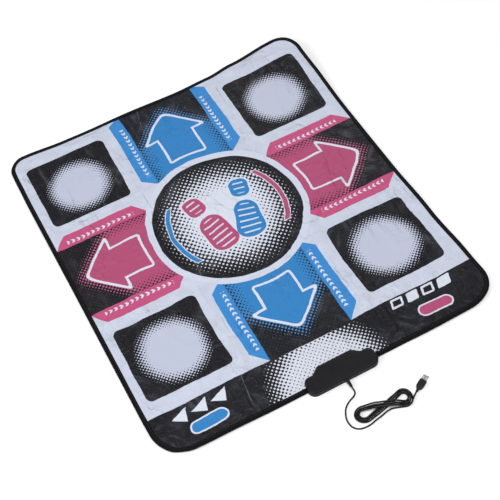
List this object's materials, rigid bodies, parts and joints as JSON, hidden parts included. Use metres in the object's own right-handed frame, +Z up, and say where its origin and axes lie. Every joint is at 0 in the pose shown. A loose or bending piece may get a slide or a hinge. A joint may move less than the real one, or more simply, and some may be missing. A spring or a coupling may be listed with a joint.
{
  "type": "dance mat controller",
  "caption": "Soft printed dance mat with pressed step zones, a bound edge, a clamped control box and a folded plug lead.",
  "frame": {"origin": "centre of the mat's underside, on the surface that it lies on", "axes": "+X to the player's right, +Y to the edge with the control box, which the player faces, +Z up"},
  "size_m": [0.815, 1.0529, 0.016],
  "materials": {
    "print_lilac": "satin printed vinyl",
    "print_blue": "satin printed vinyl",
    "print_pink": "satin printed vinyl",
    "print_black": "satin printed vinyl",
    "backing": "matt dotted vinyl cloth",
    "foam": "open foam",
    "film": "clear printed film",
    "carbon": "matt conductive print",
    "binding_tape": "woven edge tape",
    "casing": "fine textured moulding",
    "screw_steel": "bright zinc",
    "board": "solder mask",
    "chip": "matt epoxy",
    "rubber": "matt",
    "plug_steel": "nickel plate",
    "nylon": "moulded",
    "cord_jacket": "satin jacket",
    "plug_body": "satin moulding"
  },
  "bodies": {
    "mat": {"bottom_sheet": "backing", "foam_pad": "foam", "lower_circuit_film": "film", "sensor_traces": "carbon", "spacer_sheet": "foam", "upper_circuit_film": "film", "top_sheet": "print_lilac", "edge_binding": "binding_tape", "box_bottom_cover": "casing", "box_top_cover": "casing", "case_screw_1": "screw_steel", "case_screw_2": "screw_steel", "case_screw_3": "screw_steel", "case_screw_4": "screw_steel", "circuit_board": "board", "board_screw_1": "screw_steel", "board_screw_2": "screw_steel", "pressure_strip": "rubber", "controller_chip": "chip", "crystal": "plug_steel", "capacitor": "chip", "cable_header": "nylon", "strain_relief": "rubber", "inner_lead": "cord_jacket", "cord_lead": "cord_jacket", "cord_hank": "cord_jacket", "cord_tail": "cord_jacket", "plug_overmould": "plug_body", "plug_shell": "plug_steel", "plug_insert": "nylon"},
    "button_up": {"pad_up": "print_blue", "contact_up": "carbon"},
    "button_down": {"pad_down": "print_blue", "contact_down": "carbon"},
    "button_left": {"pad_left": "print_pink", "contact_left": "carbon"},
    "button_right": {"pad_right": "print_pink", "contact_right": "carbon"},
    "button_up_left": {"pad_up_left": "print_black", "contact_up_left": "carbon"},
    "button_up_right": {"pad_up_right": "print_black", "contact_up_right": "carbon"},
    "button_down_left": {"pad_down_left": "print_black", "contact_down_left": "carbon"},
    "button_down_right": {"pad_down_right": "print_black", "contact_down_right": "carbon"},
    "button_start": {"pad_start": "print_blue", "contact_start": "carbon"},
    "button_select": {"pad_select": "print_pink", "contact_select": "carbon"}
  },
  "joints": [
    {"name": "press_up", "type": "slide", "parent": "mat", "child": "button_up", "axis": [0, 0, -1], "range_m": [0, 0.0013], "stiffness_N_per_m": 2000, "springref_m": -0.001},
    {"name": "press_down", "type": "slide", "parent": "mat", "child": "button_down", "axis": [0, 0, -1], "range_m": [0, 0.0013], "stiffness_N_per_m": 2000, "springref_m": -0.001},
    {"name": "press_left", "type": "slide", "parent": "mat", "child": "button_left", "axis": [0, 0, -1], "range_m": [0, 0.0013], "stiffness_N_per_m": 2000, "springref_m": -0.001},
    {"name": "press_right", "type": "slide", "parent": "mat", "child": "button_right", "axis": [0, 0, -1], "range_m": [0, 0.0013], "stiffness_N_per_m": 2000, "springref_m": -0.001},
    {"name": "press_up_left", "type": "slide", "parent": "mat", "child": "button_up_left", "axis": [0, 0, -1], "range_m": [0, 0.0013], "stiffness_N_per_m": 2000, "springref_m": -0.001},
    {"name": "press_up_right", "type": "slide", "parent": "mat", "child": "button_up_right", "axis": [0, 0, -1], "range_m": [0, 0.0013], "stiffness_N_per_m": 2000, "springref_m": -0.001},
    {"name": "press_down_left", "type": "slide", "parent": "mat", "child": "button_down_left", "axis": [0, 0, -1], "range_m": [0, 0.0013], "stiffness_N_per_m": 2000, "springref_m": -0.001},
    {"name": "press_down_right", "type": "slide", "parent": "mat", "child": "button_down_right", "axis": [0, 0, -1], "range_m": [0, 0.0013], "stiffness_N_per_m": 2000, "springref_m": -0.001},
    {"name": "press_start", "type": "slide", "parent": "mat", "child": "button_start", "axis": [0, 0, -1], "range_m": [0, 0.0013], "stiffness_N_per_m": 500, "springref_m": -0.001},
    {"name": "press_select", "type": "slide", "parent": "mat", "child": "button_select", "axis": [0, 0, -1], "range_m": [0, 0.0013], "stiffness_N_per_m": 500, "springref_m": -0.001}
  ]
}
